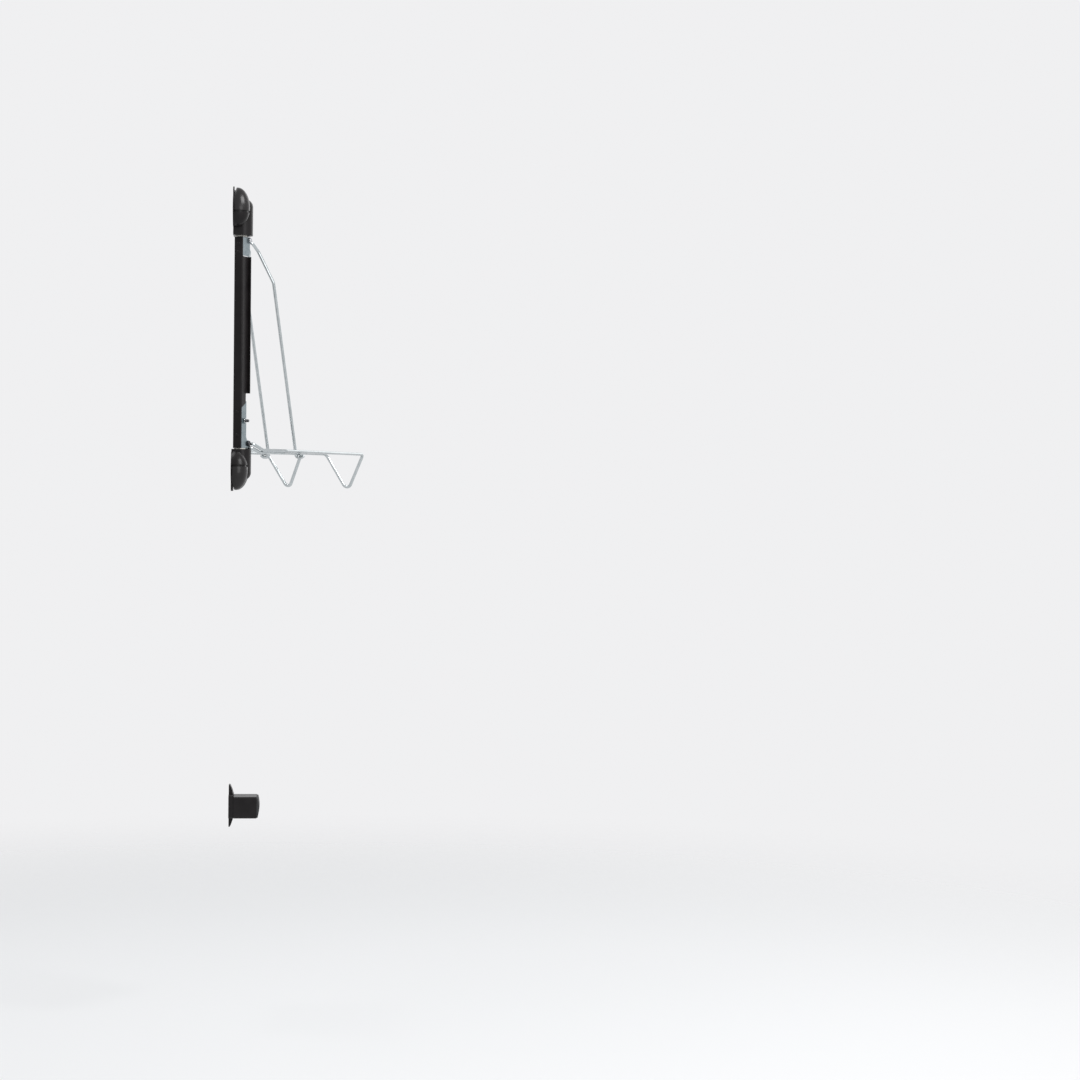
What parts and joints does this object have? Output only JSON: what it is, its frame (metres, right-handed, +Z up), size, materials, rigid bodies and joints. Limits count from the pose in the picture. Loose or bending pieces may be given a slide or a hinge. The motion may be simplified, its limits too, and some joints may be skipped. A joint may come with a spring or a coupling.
{
  "type": "wall-mounted bike rack",
  "caption": "Swivelling rack that hangs a cycle by its wheel: wire arms fold against an upright channel turning between wall brackets, with a tail rest below.",
  "frame": {"origin": "on the wall, in the middle of the lower bracket's back face", "axes": "+Z up along the wall, -Y out of the wall into the room, +X to the right for someone facing the wall"},
  "size_m": [0.5409, 0.2797, 1.325],
  "materials": {
    "black_nylon": "satin",
    "gloss_nylon": "gloss",
    "white_nylon": "matte",
    "black_coat": "satin",
    "zinc": "bright",
    "steel": "satin",
    "dark_steel": "satin",
    "rubber": "matte"
  },
  "bodies": {
    "wall_brackets": {"top_bracket": "black_nylon", "top_screw_covers": "gloss_nylon", "top_pivot_bush": "white_nylon", "bottom_bracket": "black_nylon", "bottom_screw_covers": "gloss_nylon", "bottom_pivot_bush": "white_nylon", "tail_rest_plate": "black_nylon", "tail_rest_block": "black_nylon", "tail_rest_pad": "rubber"},
    "turning_body": {"top_pivot_pin": "steel", "bottom_pivot_pin": "steel", "body_channel": "black_coat", "body_rivets": "black_coat", "upper_hinge_bracket": "zinc", "upper_hinge_bolt": "steel", "upper_hinge_nut": "steel", "upper_hinge_washers": "white_nylon", "lower_hinge_bracket": "zinc", "lower_hinge_bolt": "dark_steel", "lower_hinge_nut": "steel", "lower_hinge_washers": "white_nylon", "cross_bolt": "dark_steel", "cross_bolt_nut": "zinc", "cross_bolt_spacer": "zinc"},
    "upper_arm": {"upper_arm_barrel": "zinc", "upper_arm_sleeve": "white_nylon", "upper_arm_wire": "zinc"},
    "lower_arm": {"lower_arm_barrel": "zinc", "lower_arm_sleeve": "white_nylon", "lower_arm_wire": "zinc", "lower_cradle_wire": "zinc"}
  },
  "joints": [
    {"name": "swivel", "type": "hinge", "parent": "wall_brackets", "child": "turning_body", "pos_m": [0, -0.016, 0.2], "axis": [0, 0, 1], "range_deg": [-136.3, 7.7]},
    {"name": "lower_arm_fold", "type": "hinge", "parent": "turning_body", "child": "lower_arm", "pos_m": [0.02073, -0.02597, 0.055], "axis": [-0.4337, -0.9011, 0], "range_deg": [0, 80]},
    {"name": "upper_arm_swing", "type": "hinge", "parent": "turning_body", "child": "upper_arm", "pos_m": [0.01892, -0.02511, 0.477], "axis": [-0.4337, -0.9011, 0], "range_deg": [-16, 0]}
  ],
  "couplings": [
    {"joint": "upper_arm_swing", "follows": "lower_arm_fold", "ratio": -0.2}
  ]
}
